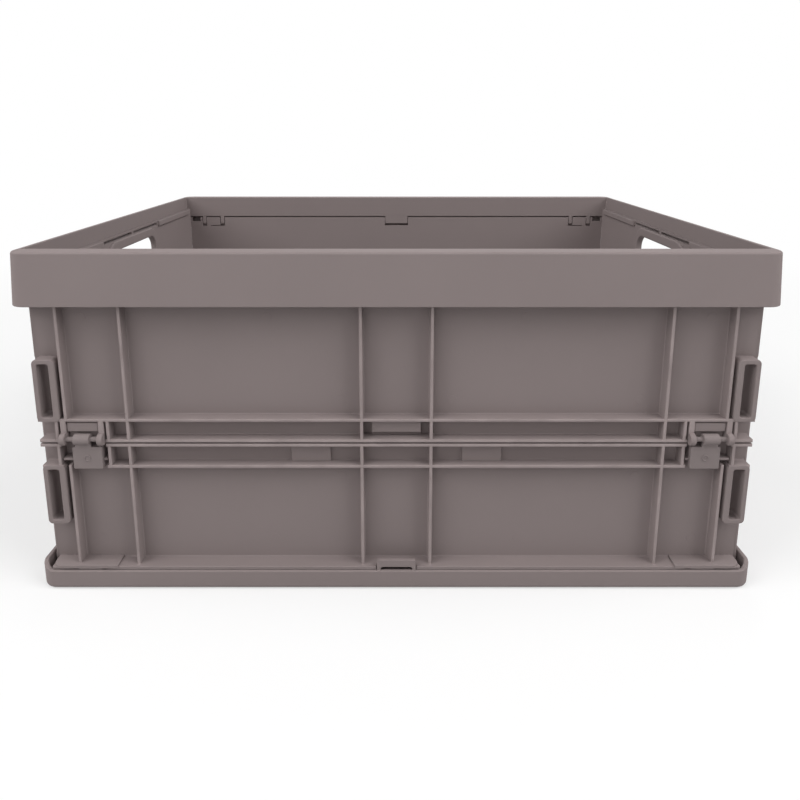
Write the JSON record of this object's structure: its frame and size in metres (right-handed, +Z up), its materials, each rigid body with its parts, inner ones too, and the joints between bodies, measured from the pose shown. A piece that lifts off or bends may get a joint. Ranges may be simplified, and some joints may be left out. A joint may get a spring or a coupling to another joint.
{
  "type": "collapsible storage crate",
  "caption": "Open-topped folding crate with ribbed long walls hinged at mid-height, end walls with hand holes, a deep rim and a low tray base that nest flat.",
  "frame": {"origin": "middle of the base's underside", "axes": "+X along the long walls, +Y from the front wall to the back wall, +Z up"},
  "size_m": [0.48, 0.35, 0.23],
  "materials": {
    "crate_plastic": "matte moulded taupe-grey polypropylene",
    "hinge_plastic": "satin moulded taupe-grey plastic"
  },
  "bodies": {
    "base": {"base_tray": "crate_plastic", "front_left_foot_pin": "hinge_plastic", "front_right_foot_pin": "hinge_plastic", "back_left_foot_pin": "hinge_plastic", "back_right_foot_pin": "hinge_plastic", "left_front_end_pin": "hinge_plastic", "left_back_end_pin": "hinge_plastic", "right_front_end_pin": "hinge_plastic", "right_back_end_pin": "hinge_plastic"},
    "rim": {"top_rim": "crate_plastic", "front_left_rim_pin": "hinge_plastic", "front_right_rim_pin": "hinge_plastic", "back_left_rim_pin": "hinge_plastic", "back_right_rim_pin": "hinge_plastic"},
    "left_end": {"left_end_wall": "crate_plastic"},
    "right_end": {"right_end_wall": "crate_plastic"},
    "front_lower": {"front_lower_panel": "crate_plastic", "front_left_hinge_clip": "hinge_plastic", "front_right_hinge_clip": "hinge_plastic"},
    "front_upper": {"front_upper_panel": "crate_plastic", "front_left_middle_pin": "hinge_plastic", "front_right_middle_pin": "hinge_plastic"},
    "back_lower": {"back_lower_panel": "crate_plastic", "back_left_hinge_clip": "hinge_plastic", "back_right_hinge_clip": "hinge_plastic"},
    "back_upper": {"back_upper_panel": "crate_plastic", "back_left_middle_pin": "hinge_plastic", "back_right_middle_pin": "hinge_plastic"}
  },
  "joints": [
    {"name": "crate_fold", "type": "hinge", "parent": "base", "child": "front_lower", "pos_m": [0, -0.1627, 0.0117], "axis": [-1, 0, 0], "range_deg": [0, 87]},
    {"name": "front_middle", "type": "hinge", "parent": "front_lower", "child": "front_upper", "pos_m": [0, -0.1705, 0.10681], "axis": [-1, 0, 0], "range_deg": [-174, 0]},
    {"name": "front_rim", "type": "hinge", "parent": "front_upper", "child": "rim", "pos_m": [0, -0.1627, 0.20192], "axis": [-1, 0, 0], "range_deg": [0, 87]},
    {"name": "back_foot", "type": "hinge", "parent": "base", "child": "back_lower", "pos_m": [0, 0.1627, 0.0117], "axis": [1, 0, 0], "range_deg": [0, 87]},
    {"name": "back_middle", "type": "hinge", "parent": "back_lower", "child": "back_upper", "pos_m": [0, 0.1705, 0.10681], "axis": [1, 0, 0], "range_deg": [-174, 0]},
    {"name": "left_end_fold", "type": "hinge", "parent": "base", "child": "left_end", "pos_m": [-0.2302, 0, 0.0047], "axis": [0, 1, 0], "range_deg": [0, 90]},
    {"name": "right_end_fold", "type": "hinge", "parent": "base", "child": "right_end", "pos_m": [0.2302, 0, 0.0047], "axis": [0, -1, 0], "range_deg": [0, 90]}
  ],
  "couplings": [
    {"joint": "front_middle", "follows": "crate_fold", "ratio": -2},
    {"joint": "front_rim", "follows": "crate_fold", "ratio": 1},
    {"joint": "back_foot", "follows": "crate_fold", "ratio": 1},
    {"joint": "back_middle", "follows": "crate_fold", "ratio": -2}
  ]
}
